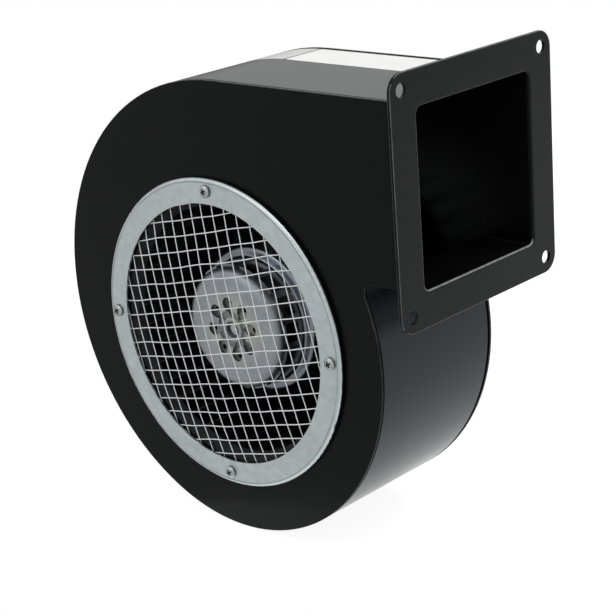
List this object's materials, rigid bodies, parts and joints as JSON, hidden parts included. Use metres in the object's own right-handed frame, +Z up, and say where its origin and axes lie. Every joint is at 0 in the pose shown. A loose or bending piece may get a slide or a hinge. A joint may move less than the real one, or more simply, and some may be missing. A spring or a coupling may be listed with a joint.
{
  "type": "radial blower fan",
  "caption": "Radial blower with a black sheet-steel scroll, a square outlet flange, a wire-guarded inlet ring and a drum impeller on an external-rotor motor.",
  "frame": {"origin": "centre of the outlet flange's outer face, which is the centre of its four bolt holes", "axes": "+X out of the outlet, square to the flange; +Z up; the inlet faces -Y and the shaft lies along Y"},
  "size_m": [0.2855, 0.138, 0.2942],
  "materials": {
    "black_paint": "smooth semi-gloss black paint on sheet steel",
    "flange_paint": "satin black paint on sheet steel",
    "galvanised": "bright galvanised sheet steel",
    "guard_wire": "bright galvanised wire",
    "zinc_screw": "zinc plated",
    "die_cast": "as-cast, lightly blasted",
    "impeller_steel": "dull galvanised sheet",
    "bearing_steel": "ground bearing steel",
    "shaft_steel": "ground steel",
    "lamination": "stacked electrical steel",
    "flux_steel": "rolled soft iron",
    "ferrite": "sintered magnet",
    "copper_wire": "enamelled copper wire",
    "insulator_plastic": "moulded nylon",
    "board": "green glass-epoxy board",
    "component_black": "moulded epoxy",
    "capacitor_sleeve": "shrink sleeve",
    "rubber": "black rubber",
    "gasket": "compressed fibre",
    "brass_shim": "rolled brass",
    "spring_steel": "hardened spring steel"
  },
  "bodies": {
    "housing": {"inlet_side_plate": "black_paint", "motor_side_plate": "black_paint", "scroll_wrap": "black_paint", "outlet_flange": "flange_paint", "inlet_ring": "galvanised", "wire_guard": "guard_wire", "ring_screws": "zinc_screw", "ring_clinch_nuts": "zinc_screw", "motor_flange": "die_cast", "motor_screws": "zinc_screw", "motor_washers": "zinc_screw", "motor_gasket": "gasket", "cable_grommet": "rubber", "stator_core": "lamination", "front_insulator": "insulator_plastic", "rear_insulator": "insulator_plastic", "stator_windings": "copper_wire", "circuit_board": "board", "board_screws": "zinc_screw", "capacitors": "capacitor_sleeve", "power_transistors": "component_black", "hall_sensors": "component_black", "front_bearing_outer_ring": "bearing_steel", "rear_bearing_outer_ring": "bearing_steel", "front_bearing_balls": "bearing_steel", "rear_bearing_balls": "bearing_steel", "preload_spring": "spring_steel"},
    "impeller": {"rotor_cup": "die_cast", "flux_ring": "flux_steel", "magnets": "ferrite", "shaft": "shaft_steel", "front_bearing_inner_ring": "bearing_steel", "rear_bearing_inner_ring": "bearing_steel", "shim_washer": "brass_shim", "retaining_ring": "spring_steel", "impeller_hub": "impeller_steel", "impeller_blades": "impeller_steel", "impeller_end_ring": "impeller_steel", "balance_clips": "zinc_screw"}
  },
  "joints": [
    {"name": "impeller_spin", "type": "hinge", "parent": "housing", "child": "impeller", "pos_m": [-0.1545, 0, -0.101], "axis": [0, 1, 0], "continuous": true}
  ]
}
